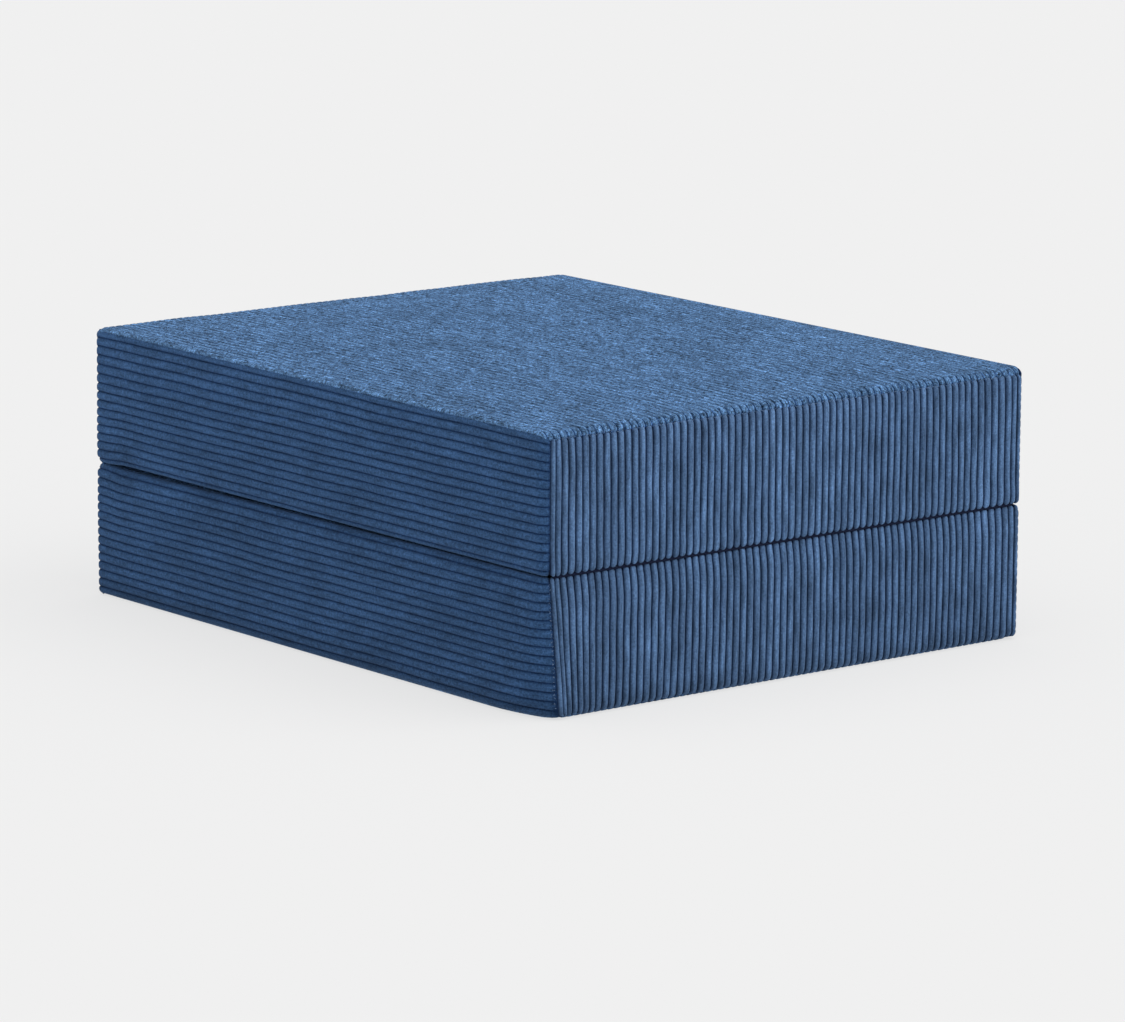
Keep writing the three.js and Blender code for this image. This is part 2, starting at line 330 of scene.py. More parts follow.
def zip_share(x):
    """How far along the layer x is, from 0 at the fold to 1 at the zipped end."""
    return np.clip((HALF_X - x) / (2 * HALF_X), 0, 1)


def free_end_lift(x, t):
    """How far the outer face has risen towards the zipped end, fading with the depth t."""
    return 0.0050 * zip_share(x) * (1 - smooth(0.02, 0.08, t))


def crease_gap(x):
    """How far a sleeping face has sunk from the fold's middle: most near the zipped end."""
    sunk = 0.0009 + 0.0024 * zip_share(x) ** 1.4
    return 0.0002 + sunk * smooth(0.015, 0.065, x + HALF_X)


def wall_profile(upper, rib, rim, inner_roll):
    """Cross-section of a wall from its outer seam to its inner seam: points (arc length, t, inset).

    The upper layer's walls start tucked under the outer panel; the lower layer's curl up from
    the floor. The crests of the ribs stop short of the floor and of the fold's middle.
    """
    if upper:
        share = np.linspace(0, 1, 12)
        t_out = rim - 0.0035 + 0.007 * share
        inset_out = 0.0035 * (1 - smooth(0, 1, share))
    else:
        turn = np.linspace(OUTER_TURN, 0, 24)
        t_out = 0.9 * rib + OUTER_ROLL * (1 - np.sin(turn))
        inset_out = OUTER_ROLL * (1 - np.cos(turn))
    turn = np.linspace(0, math.pi / 2, 24)
    short = np.clip(1 - inner_roll * (math.pi / 2 - turn) / TIP_LENGTH, 0, 1)
    crest = (inner_roll + rib * (1 - short**2) ** 0.8) * np.sin(turn)
    t = np.concatenate([t_out, CREST_LIMIT - crest.max() + inner_roll * np.sin(turn)])
    inset = np.concatenate([inset_out, inner_roll * (1 - np.cos(turn))])
    arc = np.concatenate([[0], np.cumsum(np.hypot(np.diff(t), np.diff(inset)))])
    return arc, t, inset


# ---------------------------------------------------------------- materials


class Nodes:
    """Shorthand for adding and linking shader nodes."""

    def __init__(self, name):
        self.material = bpy.data.materials.new(name)
        self.material.use_nodes = True
        self.tree = self.material.node_tree
        self.shader = self.tree.nodes["Principled BSDF"]

    def feed(self, socket, value):
        """Links a socket to another socket, or sets its number or colour."""
        if isinstance(value, bpy.types.NodeSocket):
            self.tree.links.new(value, socket)
        else:
            socket.default_value = value

    def add(self, kind, *inputs, named=None, **settings):
        """A new node: inputs feed its first sockets, named feeds sockets by name or number."""
        node = self.tree.nodes.new(kind)
        for key, value in settings.items():
            setattr(node, key, value)
        for key, value in (*enumerate(inputs), *(named or {}).items()):
            self.feed(node.inputs[key], value)
        return node

    def math(self, operation, *values):
        return self.add("ShaderNodeMath", *values, operation=operation).outputs[0]

    def noise(self, vector, scale, detail, roughness=0.5):
        named = {"Vector": vector, "Scale": scale, "Detail": detail, "Roughness": roughness}
        return self.add("ShaderNodeTexNoise", named=named).outputs[0]

    def ramp(self, value, low, high, out_low, out_high):
        return self.add("ShaderNodeMapRange", value, low, high, out_low, out_high).outputs[0]

    def stretched(self, along, across, along_scale, across_scale):
        """A place on the cloth, scaled by so much along and across the ribs."""
        x = self.math("MULTIPLY", along, along_scale)
        y = self.math("MULTIPLY", across, across_scale)
        return self.add("ShaderNodeCombineXYZ", x, y).outputs[0]

    def mix(self, factor, a, b):
        """Colour a where factor is 0 and b where it is 1."""
        return self.add("ShaderNodeMix", data_type="RGBA", named={0: factor, 6: a, 7: b}).outputs[2]

    def scale_colour(self, colour, value):
        scaled = self.add("ShaderNodeVectorMath", colour, operation="SCALE", named={"Scale": value})
        return scaled.outputs[0]

    def object_space(self):
        return self.add("ShaderNodeTexCoord").outputs["Object"]

    def bump(self, value, distance, strength, normal=None):
        named = {"Strength": strength, "Distance": distance, "Height": value}
        if normal is not None:
            named["Normal"] = normal
        return self.add("ShaderNodeBump", named=named).outputs[0]

    def set(self, **values):
        """Feeds the shader's sockets, with _ for each space in a socket's name."""
        for key, value in values.items():
            self.feed(self.shader.inputs[key.replace("_", " ")], value)


def linear(red, green, blue):
    """Scene-linear colour of an 8-bit display colour."""
    values = [c / 255 for c in (red, green, blue)]
    line = [c / 12.92 if c <= 0.04045 else ((c + 0.055) / 1.055) ** 2.4 for c in values]
    return (*line, 1.0)


def tinted(colour, red, green, blue):
    """A colour with its channels multiplied."""
    return (colour[0] * red, colour[1] * green, colour[2] * blue, 1.0)


def corduroy(name, crest, groove, streak, fuzz, grain, brushed, nap, groove_shade_until):
    """Cotton corduroy: grooves darkened with painted shade, brushed pile on the ribs, fine fuzz,
    soft mottling, and painted shade towards the floor.

    streak, fuzz, brushed and nap are strengths from 0 to 1; grain is the size of the tufts of pile.
    """
    m = Nodes(name)
    cloth = m.add("ShaderNodeAttribute", attribute_name="cloth").outputs["Vector"]
    split = m.add("ShaderNodeSeparateXYZ", cloth)
    along, across, level = split.outputs[0], split.outputs[1], split.outputs[2]
    space = m.object_space()
    fine = m.noise(space, 950.0, 3.0, 0.6)
    soft = m.noise(space, 1 / grain, 3.0, 0.6)
    patch = m.noise(space, 9.0, 3.0, 0.5)
    lie = m.noise(m.stretched(along, across, 6.0, 17.0), 1.0, 2.0, 0.5)
    hair = m.noise(m.stretched(along, across, 40.0, 420.0), 1.0, 3.0, 0.6)
    brush = m.noise(m.stretched(along, across, 22.0, 110.0), 1.0, 3.0, 0.55)
    # Painted shade: the colour goes to the dark groove colour wherever the level is low, in the
    # grooves and where the ribs sink at seams and at their tips in the fold.
    edge = m.ramp(level, 0.15, groove_shade_until, 0.0, 1.0)
    colour = m.mix(edge, groove, crest)
    spreads = (
        (fine, fuzz), (soft, fuzz), (hair, streak), (brush, brushed), (patch, 0.08), (lie, nap),
    )
    height = m.add("ShaderNodeSeparateXYZ", space).outputs[2]
    # Painted shade: darker towards the floor, so the lower layer is duller than the upper, with a
    # painted contact shadow over the bottom 30 mm.
    shade = m.ramp(height, 0.0, STACK, 0.88, 1.06)
    shade = m.math("MULTIPLY", shade, m.ramp(height, 0.0, 0.030, 0.60, 1.0))
    for value, amount in spreads:
        light = m.ramp(value, 0.3, 0.7, 1 - 1.05 * amount, 1 + 0.95 * amount)
        shade = m.math("MULTIPLY", shade, light)
    first = m.bump(hair, 0.0010, 0.6)
    second = m.bump(soft, 0.0016, 0.6, first)
    normal = m.bump(fine, 0.0009, 0.7, second)
    m.set(Base_Color=m.scale_colour(colour, shade), Roughness=0.93, Normal=normal)
    m.set(Specular_IOR_Level=0.04, Sheen_Weight=0.17)
    m.set(Sheen_Roughness=0.45, Sheen_Tint=(0.45, 0.65, 0.95, 1.0))
    return m.material


def foam(name, colour, cell):
    """Open-cell foam: a pale colour with small cells and a little yellowing."""
    m = Nodes(name)
    space = m.object_space()
    cells = m.add("ShaderNodeTexVoronoi", named={"Vector": space, "Scale": 1 / cell}).outputs[0]
    patch = m.noise(space, 6.0, 3.0)
    pores = m.ramp(cells, 0.0, 0.7, 0.8, 1.05)
    shade = m.math("MULTIPLY", pores, m.ramp(patch, 0.3, 0.7, 0.95, 1.04))
    base = m.mix(patch, colour, tinted(colour, 1.0, 0.95, 0.85))
    m.set(Base_Color=m.scale_colour(base, shade), Normal=m.bump(cells, cell, 0.6))
    m.set(Roughness=0.95, Specular_IOR_Level=0.1)
    return m.material


def woven(name, colour, thread, sheen):
    """Plain woven or knitted cloth: crossing threads, slight colour variation."""
    m = Nodes(name)
    space = m.object_space()
    split = m.add("ShaderNodeSeparateXYZ", space)
    turn = 2 * math.pi / thread
    diagonal = m.math("ADD", split.outputs[0], split.outputs[2])
    threads = [m.math("SINE", m.math("MULTIPLY", v, turn)) for v in (diagonal, split.outputs[1])]
    weave = m.math("MULTIPLY", *threads)
    speck = m.noise(space, 1500.0, 2.0)
    patch = m.noise(space, 20.0, 2.0)
    shade = m.ramp(weave, -1.0, 1.0, 0.82, 1.08)
    shade = m.math("MULTIPLY", shade, m.ramp(speck, 0.3, 0.7, 0.9, 1.1))
    shade = m.math("MULTIPLY", shade, m.ramp(patch, 0.3, 0.7, 0.93, 1.06))
    base = m.mix(patch, colour, tinted(colour, 0.92, 0.94, 0.96))
    m.set(Base_Color=m.scale_colour(base, shade), Normal=m.bump(weave, thread * 0.3, 0.6))
    m.set(Roughness=0.85, Specular_IOR_Level=0.2, Sheen_Weight=sheen)
    return m.material


def hard(name, colour, metallic, roughness, wear):
    """Nickel or nylon with fine scratches and uneven gloss."""
    m = Nodes(name)
    space = m.object_space()
    smear = m.noise(space, 180.0, 4.0)
    grit = m.noise(space, 2200.0, 2.0)
    gloss = m.ramp(smear, 0.3, 0.7, roughness - wear, roughness + wear)
    base = m.mix(smear, colour, tinted(colour, 0.85, 0.85, 0.85))
    m.set(Base_Color=base, Metallic=metallic, Roughness=gloss)
    m.set(Normal=m.bump(grit, 0.00005, 0.25))
    return m.material


def studio_floor(name):
    """A pale floor that glows a little, so that shadows on it stay faint."""
    m = Nodes(name)
    m.set(Base_Color=(0.20, 0.20, 0.20, 1.0), Roughness=0.9, Specular_IOR_Level=0.0)
    m.set(Emission_Color=(1.0, 1.0, 1.0, 1.0), Emission_Strength=0.675)
    return m.material


# Each material's maker and what it is given after the name.
MATERIALS = {
    # Painted shade: each corduroy's groove colour is far darker than its crest, for the shade in
    # the grooves, darkest on the hinge walls.
    "cord_outer": (corduroy, dict(
        crest=linear(89, 126, 170), groove=linear(14, 46, 96),
        streak=0.60, fuzz=0.84, grain=0.0038, brushed=0.28, nap=0.12, groove_shade_until=0.80,
    )),
    "cord_hinge": (corduroy, dict(
        crest=linear(94, 126, 168), groove=linear(0, 14, 52),
        streak=0.20, fuzz=0.26, grain=0.0033, brushed=0.34, nap=0.20, groove_shade_until=0.95,
    )),
    # Painted shade: the side bands and end walls get a darker copy of the corduroy, for the shade
    # on the faces turned from the light.
    "cord_band": (corduroy, dict(
        crest=linear(58, 90, 132), groove=linear(26, 52, 92),
        streak=0.18, fuzz=0.36, grain=0.0033, brushed=0.18, nap=0.12, groove_shade_until=0.92,
    )),
    "foam_core_cells": (foam, dict(colour=linear(236, 226, 196), cell=0.0016)),
    "comfort_foam_cells": (foam, dict(colour=linear(240, 238, 230), cell=0.0011)),
    "liner_knit": (woven, dict(colour=linear(228, 228, 224), thread=0.0016, sheen=0.2)),
    "woven_tape": (woven, dict(colour=linear(34, 52, 86), thread=0.0009, sheen=0.1)),
    # Painted shade: the fold tape is a navy darkened further, for the shade deep in the fold.
    "fold_weave": (woven, dict(colour=linear(8, 22, 52), thread=0.0009, sheen=0.0)),
    # Painted highlight: the loose pile is far paler than the corduroy, for light catching the fuzz
    # at the seams.
    "loose_pile": (woven, dict(colour=linear(140, 168, 200), thread=0.0006, sheen=0.1)),
    "zip_nylon": (hard, dict(colour=linear(30, 46, 78), metallic=0.0, roughness=0.45, wear=0.1)),
    "zip_nickel": (
        hard, dict(colour=linear(196, 198, 202), metallic=1.0, roughness=0.32, wear=0.1)
    ),
    "studio_floor": (studio_floor, {}),
}


def material(name):
    """The scene's material of that name, made on first use."""
    found = bpy.data.materials.get(name)
    if found is not None:
        return found
    maker, values = MATERIALS[name]
    return maker(name, **values)


def finish_piece(obj, material_name, body, node):
    """Gives a finished piece its material and its place in the frame."""
    obj.data.materials.clear()
    obj.data.materials.append(material(material_name))
    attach(obj, body)
    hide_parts(node)
    return obj


# ---------------------------------------------------------------- settings


class FutonStageSettings(bpy.types.PropertyGroup):
    """Camera and light."""

    azimuth: bpy.props.FloatProperty(
        name="Azimuth",
        description="Turn of the camera about the upright axis",
        default=math.radians(50.866),
        subtype="ANGLE",
    )
    elevation: bpy.props.FloatProperty(
        name="Elevation",
        description="Height angle of the camera",
        default=math.radians(11.140),
        subtype="ANGLE",
    )
    roll: bpy.props.FloatProperty(
        name="Roll", description="Tilt of the camera", default=math.radians(0.406), subtype="ANGLE"
    )
    distance: bpy.props.FloatProperty(
        name="Distance", description="Camera distance from the middle", default=7.397, unit="LENGTH"
    )
    shift_right: bpy.props.FloatProperty(
        name="Shift Right", description="Camera offset to its right", default=0.01434, unit="LENGTH"
    )
    shift_up: bpy.props.FloatProperty(
        name="Shift Up", description="Camera offset upwards", default=-0.03780, unit="LENGTH"
    )
    lens: bpy.props.FloatProperty(
        name="Lens", description="Focal length on a 36 mm sensor, in millimetres", default=178.74
    )
    top_strength: bpy.props.FloatProperty(
        name="Top Strength", description="Strength of the broad overhead light", default=1.05
    )
    key_strength: bpy.props.FloatProperty(
        name="Key Strength", description="Strength of the light from the fold's side", default=0.85
    )
    fill_strength: bpy.props.FloatProperty(
        name="Fill Strength", description="Strength of the weak light on the front", default=0.25
    )
    world_strength: bpy.props.FloatProperty(
        name="World Strength", description="Strength of the even surrounding light", default=0.42
    )


class FutonClothSettings(bpy.types.PropertyGroup):
    """Corduroy and swelling."""

    rib_outer: bpy.props.FloatProperty(
        name="Outer Rib", description="Rib height on the outer panels",
        default=OUTER_RIB, unit="LENGTH",
    )
    rib_hinge: bpy.props.FloatProperty(
        name="Hinge Rib", description="Rib height on the hinge walls", default=0.0040, unit="LENGTH"
    )
    rib_band: bpy.props.FloatProperty(
        name="Band Rib", description="Rib height on the side bands", default=0.0027, unit="LENGTH"
    )
    pressure: bpy.props.FloatProperty(
        name="Pressure", description="Filling pressure in the cloth simulation", default=4.0
    )
    crown: bpy.props.FloatProperty(
        name="Crown", description="Most that a large face swells", default=0.005, unit="LENGTH"
    )
    bulge: bpy.props.FloatProperty(
        name="Bulge", description="Most that a side swells", default=0.0026, unit="LENGTH"
    )


# ---------------------------------------------------------------- operators


class LayerTool:
    """What the operators that work on one layer share"""

    upper: bpy.props.BoolProperty(name="Upper", description="Upper layer", default=False)

    def add_cover(self, part, cord, slot, base, height, along, across, level, outward):
        """Adds a cover piece of this layer from its surface, in that corduroy."""
        name = layer_name(self.upper)
        obj = cloth_panel(
            f"{name}_{part}_cloth", base, height, CLOTH, along, across, level, self.upper, outward
        )
        finish_piece(obj, cord, f"{name}_layer", f"{name}_{part}")


class FUTON_OT_swelling(LayerTool, bpy.types.Operator):
    """Blow up a plain block with a cloth simulation and keep how far each face swells"""

    bl_idname = "futon.swelling"
    bl_label = "Simulate Filling"

    CUTS = 23
    FRAMES = 20
    EASE = 2.2

    def execute(self, context):
        settings = context.scene.futon_cloth
        cells = self.CUTS + 1
        faces = {
            "outer": (2, -1),
            "inner": (2, 1),
            "hinge": (0, 1),
            "end": (0, -1),
            "front": (1, -1),
            "back": (1, 1),
        }
        caps = (settings.bulge, settings.bulge, settings.crown)
        size = np.array([2 * HALF_X, 2 * HALF_Y, LAYER])
        bm = bmesh.new()
        bmesh.ops.create_cube(bm, size=1.0)
        bmesh.ops.scale(bm, vec=Vector(size), verts=bm.verts[:])
        bmesh.ops.subdivide_edges(bm, edges=bm.edges[:], cuts=self.CUTS, use_grid_fill=True)
        mesh = finished_mesh(bm, "filling_block")
        block = new_object("filling_block", mesh)
        rest = np.array([v.co for v in mesh.vertices])
        on_face = np.abs(np.abs(rest) - size / 2) < 1e-5
        seams = block.vertex_groups.new(name="seams")
        seams.add([int(i) for i in np.flatnonzero(on_face.sum(1) >= 2)], 1.0, "REPLACE")
        cloth = block.modifiers.new("filling", "CLOTH")
        cloth.settings.quality = 5
        cloth.settings.use_pressure = True
        cloth.settings.uniform_pressure_force = settings.pressure
        cloth.settings.effector_weights.gravity = 0
        cloth.settings.vertex_group_mass = "seams"
        cloth.settings.bending_stiffness = 5
        cloth.point_cache.frame_start = 1
        cloth.point_cache.frame_end = self.FRAMES
        for number in range(1, self.FRAMES + 1):
            context.scene.frame_set(number)
        shaped = block.evaluated_get(context.evaluated_depsgraph_get()).to_mesh()
        moved = np.array([v.co for v in shaped.vertices]) - rest
        for face, (axis, sign) in faces.items():
            keep = on_face[:, axis] & (np.sign(rest[:, axis]) == sign)
            others = [k for k in range(3) if k != axis]
            index = [np.rint((rest[keep, k] / size[k] + 0.5) * cells).astype(int) for k in others]
            table = np.zeros((cells + 1, cells + 1))
            table[index[0], index[1]] = moved[keep, axis] * sign
            eased = caps[axis] * np.tanh(self.EASE * table / table.max()) / math.tanh(self.EASE)
            swelling[(self.upper, face)] = eased
        bpy.data.objects.remove(block)
        bpy.data.meshes.remove(mesh)
        context.scene.frame_set(1)
        return {"FINISHED"}


def panel_surface(station, v, half, roll, flat_corner, sway, seed, end_level):
    """A panel with ribs along x and a rolled border: grids of u, v, base, level and inside.

    v is where the stations are; end_level is how high the ribs still are at their ends, and
    inside rises from 0 to 1 from the long edges inwards.
    """
    reach_x = sheet_reach(half[0], roll[0])
    reach_y = sheet_reach(half[1], roll[1])
    corner = HALF_X - 0.028
    u = spread((-reach_x, 0), (-corner, 9), (corner, 44), (reach_x, 9))
    vv, uu = np.meshgrid(v, u)
    swayed = sway * waves(uu, vv, seed, (0.5, 0.27, 0.16))
    inside = smooth(0, 0.05, reach_y - np.abs(vv))
    base = rolled_sheet(uu, vv + swayed * inside, half, roll, flat_corner)
    level = rib_profile(station, PANEL_SHAPE)[None, :] + 0 * uu
    end = smooth(0, 0.004, reach_x - np.abs(uu))
    return uu, vv, base, level * (end_level + (1 - end_level) * end), inside


class FUTON_OT_outer_panel(LayerTool, bpy.types.Operator):
    """Add the outer panel of a layer: ribs along x, its border rolled over the edges"""

    bl_idname = "futon.outer_panel"
    bl_label = "Outer Panel"

    def execute(self, context):
        rib = context.scene.futon_cloth.rib_outer
        roll, flat_corner = outer_rolls(self.upper)
        inset = rib if self.upper else OUTER_INSET + 0.0005
        half = (HALF_X - inset, HALF_Y - inset)
        reach = sheet_reach(half[1], roll[1])
        if self.upper:
            last = WALL_RIBS + 1
            station = rib_stations(last + 1)
            v = wall_rib_y(np.clip(station - 1, 0, WALL_RIBS))
            v = np.where(station < 1, np.interp(station, [0, 1], [-reach, -SEAM_Y]), v)
            v = np.where(station > last, np.interp(station, [last, last + 1], [SEAM_Y, reach]), v)
        else:
            station = rib_stations(WALL_RIBS)
            v = np.interp(station, [0, WALL_RIBS], [-reach, reach])
        uu, vv, base, level, inside = panel_surface(
            station, v, half, roll, flat_corner, 0.0007, 11 + self.upper, 0.45
        )
        height = rib * level
        base[..., 2] += rib
        if self.upper:
            share_x = (base[..., 0] / HALF_X + 1) / 2
            share_y = (base[..., 1] / HALF_Y + 1) / 2
            crown = swell_at(True, "outer", share_x, share_y)
            height = height + crown + 0.0008 * waves(uu, vv, 21) * inside
        else:
            narrowed = 1 - floor_corner(base[..., 0]) / HALF_Y
            base[..., 1] *= np.where(base[..., 1] < 0, narrowed, 1)
        self.add_cover(
            "outer_panel", "cord_outer", "corduroy_top",
            base, height, uu, vv, level, (0, 0, -1),
        )
        return {"FINISHED"}


class FUTON_OT_inner_panel(LayerTool, bpy.types.Operator):
    """Add the inner panel of a layer, the face slept on once the mattress is unfolded"""

    bl_idname = "futon.inner_panel"
    bl_label = "Inner Panel"

    def execute(self, context):
        rib = context.scene.futon_cloth.rib_outer
        half = (HALF_X - INNER_ROLL - 0.002, HALF_Y - BAND_ROLL - 0.001)
        roll = (0.003, 0.003)
        reach = sheet_reach(half[1], roll[1])
        station = rib_stations(INNER_RIBS)
        v = np.interp(station, [0, INNER_RIBS], [-reach, reach])
        uu, vv, base, level, inside = panel_surface(
            station, v, half, roll, 0.009, 0.0008, 31 + self.upper, 0.4
        )
        dip = 0.0030 * (1 - smooth(0.035, 0.080, sheet_reach(half[0], roll[0]) - uu))
        uneven = 0.0004 * waves(uu, vv, 41 + self.upper) - 0.0004
        height = rib * level - dip + uneven * inside
        base[..., 2] = CREST_LIMIT - rib - base[..., 2] - crease_gap(base[..., 0])
        self.add_cover(
            "inner_panel", "cord_outer", "corduroy_top",
            base, height, uu, vv, level, (0, 0, 1),
        )
        return {"FINISHED"}


class FUTON_OT_hinge_wall(LayerTool, bpy.types.Operator):
    """Add the wall on the fold's side: upright ribs that curl over the inner rim"""

    bl_idname = "futon.hinge_wall"
    bl_label = "Hinge Wall"

    def execute(self, context):
        rib = context.scene.futon_cloth.rib_hinge
        arcs_at, t_at, inset_at = wall_profile(self.upper, rib, rim_depth(0.0), INNER_ROLL)
        total = arcs_at[-1]
        arc = spread((0, 0), (0.02, 12), (total - 0.020, 16), (total, 24))
        t = np.interp(arc, arcs_at, t_at)
        inset = np.interp(arc, arcs_at, inset_at) + rib
        station = rib_stations(WALL_RIBS)
        ee, tt = np.meshgrid(wall_rib_y(station), t)
        insets = np.broadcast_to(inset[:, None], ee.shape)
        arcs = np.broadcast_to(arc[:, None], ee.shape)
        turn = math.pi / 2 - corner_turn(self.upper, np.sign(ee), tt)
        share = smooth(SEAM_Y - 0.025, SEAM_Y, np.abs(ee)) * turn
        nx = np.cos(share)
        ny = np.sign(ee) * np.sin(share)
        lean = smooth(SEAM_Y - 0.09, SEAM_Y, np.abs(ee))
        y = ee + np.sign(ee) * (seam_y(self.upper, np.sign(ee), tt) - SEAM_Y) * lean
        inside = smooth(0, 0.02, SEAM_Y - np.abs(ee))
        y = y + 0.0010 * waves(arcs, ee, 51 + self.upper, (0.4, 0.2, 0.09)) * inside
        lip = (0.0020 if self.upper else -0.0008) * (1 - smooth(0.010, 0.040, total - arcs))
        x = HALF_X + lip * np.cos(share)
        base = np.stack([x - nx * insets, y - ny * insets, tt], axis=-1)
        level = tip_level(station[None, :], HINGE_SHAPE, total - arcs, 0.12)
        level = level * (0.35 + 0.65 * smooth(0, 0.005, arcs))
        bulge = swell_at(self.upper, "hinge", (ee / HALF_Y + 1) / 2, tt / LAYER)
        seam = 0.0012 * (1 - smooth(0, SEAM_WIDTH, SEAM_Y - np.abs(ee)))
        uneven = 0.0006 * waves(arcs, ee, 61 + self.upper, (0.3, 0.13, 0.07)) * inside
        swell = np.minimum(bulge + uneven, 0.0027 - lip)
        height = rib * level + swell * smooth(0.006, 0.016, total - arcs) - seam
        self.add_cover(
            "hinge_wall", "cord_hinge", "corduroy_hinge_wall",
            base, height, arcs, ee, level, (1, 0, 0),
        )
        return {"FINISHED"}


def band_outline(upper, side, t):
    """Plan points and outward normals of a side band, from hinge seam round to the end seam.

    t holds one depth per column; the result has a row for each station along the band.
    """
    radius = corner_radius(upper, side, t)[None, :]
    turn = corner_turn(upper, side, t)[None, :]
    first = math.pi / 2 - turn * np.linspace(1, 0, 13)[:, None]
    middle = np.full((55, 1), math.pi / 2) + 0 * radius
    turns = np.linspace(math.pi / 2, math.pi, 10)[:, None] + 0 * radius
    tail = np.linspace(HALF_Y - END_RADIUS, END_SEAM_Y, 5)[1:, None] + 0 * radius
    left = HALF_X - radius * np.sin(turn)
    right = -HALF_X + END_RADIUS
    share = np.linspace(0, 1, 57)[1:-1, None]
    x = np.concatenate([
        left + radius * np.cos(first),
        left + (right - left) * share,
        right + END_RADIUS * np.cos(turns),
        -HALF_X + 0 * tail,
    ])
    y = np.concatenate([
        HALF_Y - radius + radius * np.sin(first),
        HALF_Y + 0 * middle,
        HALF_Y - END_RADIUS + END_RADIUS * np.sin(turns),
        tail,
    ])
    angle = np.concatenate([first, middle, turns, math.pi + 0 * tail])
    return x, side * y, np.cos(angle), side * np.sin(angle)


class FUTON_OT_band(LayerTool, bpy.types.Operator):
    """Add a side band of a layer: level ribs, wrapped round both upright corners"""

    bl_idname = "futon.band"
    bl_label = "Side Band"

    back: bpy.props.BoolProperty(name="Back", description="Band on the far side", default=False)

    def execute(self, context):
        rib = context.scene.futon_cloth.rib_band
        side = 1 if self.back else -1
        seed = 2 * self.upper + self.back
        station = rib_stations(BAND_RIBS)
        share = station / BAND_RIBS
        arcs_at, t_at, inset_at = wall_profile(self.upper, rib, rim_depth(1.0), BAND_ROLL)
        total = arcs_at[-1]
        arc = share * total
        t_flat = np.interp(arc, arcs_at, t_at)
        x, y, nx, ny = band_outline(self.upper, side, t_flat)
        tt = t_flat[None, :] + 0 * x
        if self.upper:
            fade = 1 - smooth(0, 0.6, share)[None, :]
            tt = tt + (rim_depth(ny**2) - rim_depth(1.0)) * fade
        tt = tt - crease_gap(x) * smooth(0.4, 1, tt / LAYER)
        insets = rib + np.interp(arc, arcs_at, inset_at)[None, :] + 0 * tt
        arcs = arc[None, :] + 0 * tt
        lengths = np.zeros(x.shape)
        steps = np.hypot(np.diff(x, axis=0), np.diff(y, axis=0))
        lengths[1:] = np.cumsum(steps, axis=0)
        ends = np.minimum(lengths, lengths[-1] - lengths)
        inside = smooth(0, 0.03, ends)
        sway = waves(lengths, arcs, 71 + seed, (0.6, 0.33, 0.15))
        tt = tt + 0.0012 * sway * inside * smooth(0.010, 0.035, total - arc)[None, :]
        base = np.stack([x - nx * insets, y - ny * insets, tt], axis=-1)
        level = rib_profile(station, BAND_SHAPE)[None, :] + 0 * tt
        tip = smooth(0, 0.004, lengths[-1] - lengths)
        tip = tip * smooth(0, 0.018 if self.back else 0.004, lengths)
        level = level * (0.3 + 0.7 * tip)
        face = "back" if self.back else "front"
        bulge = swell_at(self.upper, face, (x / HALF_X + 1) / 2, tt / LAYER)
        seam = SEAM_DIP * (1 - smooth(0, SEAM_WIDTH, ends))
        uneven = 0.0008 * waves(lengths, arcs, 81 + seed)
        free = smooth(0.004, 0.020, arc)[None, :] * smooth(0.004, 0.020, total - arc)[None, :]
        height = rib * level + (bulge + uneven * inside) * free - seam
        self.add_cover(
            f"{face}_band", "cord_band", "corduroy_band",
            base, height, lengths, arcs, level, (0, side, 0),
        )
        return {"FINISHED"}


class FUTON_OT_end_wall(LayerTool, bpy.types.Operator):
    """Add one of the two strips of the end wall, above or below the zip"""

    bl_idname = "futon.end_wall"
    bl_label = "End Wall"

    inner: bpy.props.BoolProperty(name="Inner", description="Strip next to the fold", default=False)

    def execute(self, context):
        rib = context.scene.futon_cloth.rib_band
        arcs_at, t_at, inset_at = wall_profile(self.upper, rib, rim_depth(0.0), INNER_ROLL)
        low = np.interp(ZIP_HIGH, t_at, arcs_at) if self.inner else 0.0
        high = arcs_at[-1] if self.inner else np.interp(ZIP_LOW, t_at, arcs_at)
        ribs = round((high - low) / PITCH)
        station = rib_stations(ribs)
        arc = low + (high - low) * station / ribs
        near = END_SEAM_Y - 0.01
        y = spread((-END_SEAM_Y, 0), (-near, 5), (near, 40), (END_SEAM_Y, 5))
        aa, yy = np.meshgrid(arc, y)
        tt = np.interp(aa, arcs_at, t_at)
        tt = tt - crease_gap(-HALF_X) * smooth(0.4, 1, tt / LAYER)
        insets = rib + np.interp(aa, arcs_at, inset_at)
        ends = END_SEAM_Y - np.abs(yy)
        inside = smooth(0, 0.03, ends)
        hem = np.abs(aa - (low if self.inner else high))
        free = smooth(0, 0.015, hem) * smooth(0, 0.02, np.minimum(aa - low, high - aa) + 0.004)
        seed = 91 + 2 * self.upper + self.inner
        tt = tt + 0.0010 * waves(yy, aa, seed, (0.5, 0.3, 0.14)) * inside * free
        base = np.stack([insets - HALF_X, yy, tt], axis=-1)
        level = rib_profile(station, BAND_SHAPE)[None, :] * (0.3 + 0.7 * smooth(0, 0.004, ends))
        bulge = swell_at(self.upper, "end", (yy / HALF_Y + 1) / 2, tt / LAYER)
        lap = 0.0012 * (1 - smooth(0, 0.004, hem))
        seam = SEAM_DIP * (1 - smooth(0, SEAM_WIDTH, ends))
        height = rib * level + 0.5 * bulge * smooth(0, 0.03, hem) - lap - seam
        self.add_cover(
            f"end_wall_{'inner' if self.inner else 'outer'}", "cord_band", "corduroy_band",
            base, height, yy, aa, level, (-1, 0, 0),
        )
        return {"FINISHED"}


